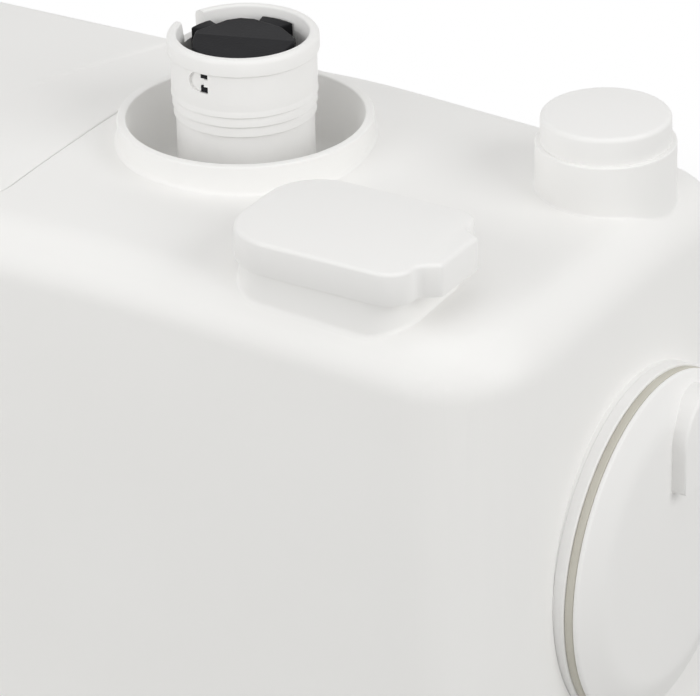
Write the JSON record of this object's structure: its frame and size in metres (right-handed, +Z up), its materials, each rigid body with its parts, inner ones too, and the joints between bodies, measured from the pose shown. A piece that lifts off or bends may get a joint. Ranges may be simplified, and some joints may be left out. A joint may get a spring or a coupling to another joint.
{
  "type": "macerator toilet pump",
  "caption": "Long rounded white casing with a cup-set ridged outlet, lift-off vent, plugged top inlet and blanked side port, holding a motor-driven macerating waste pump.",
  "frame": {"origin": "on the floor, under the middle of the casing", "axes": "+X to the end with the side port, -Y to the front that the vent stands near, +Z up"},
  "size_m": [0.564, 0.184, 0.3058],
  "materials": {
    "casing_white": "glossy white",
    "fitting_white": "glossy white",
    "rubber_black": "matt black",
    "seal_ivory": "matt ivory",
    "valve_black": "satin black",
    "steel": "stainless",
    "zinc": "zinc plated",
    "grey_plastic": "satin grey",
    "charcoal": "dull charcoal",
    "copper": "lacquered copper",
    "board_green": "satin green"
  },
  "bodies": {
    "casing": {"tank": "casing_white", "hood": "casing_white", "casing_seal": "rubber_black", "casing_screws": "steel", "rubber_feet": "rubber_black", "floor_brackets": "zinc", "bracket_screws": "steel", "lid_gasket": "rubber_black", "control_tray": "grey_plastic", "control_board": "board_green", "capacitor": "copper", "terminal_block": "fitting_white", "cable_gland": "grey_plastic", "gland_nut": "grey_plastic", "outlet_stub": "fitting_white", "outlet_seal": "rubber_black", "valve_body": "valve_black", "valve_pin": "steel", "discharge_hose": "rubber_black", "hose_clips": "steel", "carbon_filter": "charcoal", "port_ring": "fitting_white", "port_gasket": "seal_ivory", "motor_can": "zinc", "stator": "copper", "motor_bearings": "steel", "motor_shield": "grey_plastic", "shaft_seal": "rubber_black", "motor_cradle": "grey_plastic", "pump_volute": "grey_plastic", "suction_cover": "grey_plastic", "macerator_basket": "grey_plastic", "shaft_bush": "fitting_white", "pump_screws": "steel", "level_bell": "grey_plastic", "switch_housing": "grey_plastic", "switch_diaphragm": "rubber_black", "switch_cap": "grey_plastic", "microswitch": "charcoal", "side_inlets": "fitting_white", "flap_pins": "steel"},
    "rotor": {"rotor_core": "steel", "drive_shaft": "steel", "impeller": "charcoal", "cutter": "steel", "cutter_nut": "steel"},
    "lid": {"lid": "casing_white"},
    "vent_cover": {"vent_cover": "fitting_white"},
    "inlet_plug": {"inlet_plug": "fitting_white", "plug_o_ring": "rubber_black"},
    "port_cover": {"port_cover": "fitting_white"},
    "valve_flap": {"valve_flap": "valve_black"},
    "left_flap": {"left_flap": "rubber_black"},
    "right_flap": {"right_flap": "rubber_black"},
    "switch_plunger": {"switch_plunger": "fitting_white"}
  },
  "joints": [
    {"name": "motor_spin", "type": "hinge", "parent": "casing", "child": "rotor", "pos_m": [0.04, -0.02, 0.1], "axis": [1, 0, 0], "continuous": true},
    {"name": "lid_lift", "type": "slide", "parent": "casing", "child": "lid", "axis": [0, 0, 1], "range_m": [0, 0.05]},
    {"name": "vent_lift", "type": "slide", "parent": "casing", "child": "vent_cover", "axis": [0.0611, 0, 0.9981], "range_m": [0, 0.03]},
    {"name": "plug_pull", "type": "slide", "parent": "casing", "child": "inlet_plug", "axis": [0, 0, 1], "range_m": [0, 0.04]},
    {"name": "port_cover_pull", "type": "slide", "parent": "casing", "child": "port_cover", "axis": [1, 0, 0], "range_m": [0, 0.04]},
    {"name": "valve_swing", "type": "hinge", "parent": "casing", "child": "valve_flap", "pos_m": [0.112, 0.0282, 0.3037], "axis": [-1, 0, 0], "range_deg": [0, 70]},
    {"name": "left_flap_swing", "type": "hinge", "parent": "casing", "child": "left_flap", "pos_m": [-0.2365, -0.036, 0.0802], "axis": [0, -1, 0], "range_deg": [0, 60]},
    {"name": "right_flap_swing", "type": "hinge", "parent": "casing", "child": "right_flap", "pos_m": [0.2365, 0.036, 0.0802], "axis": [0, 1, 0], "range_deg": [0, 40]},
    {"name": "switch_press", "type": "slide", "parent": "casing", "child": "switch_plunger", "axis": [0, 0, 1], "range_m": [0, 0.002], "stiffness_N_per_m": 200}
  ]
}
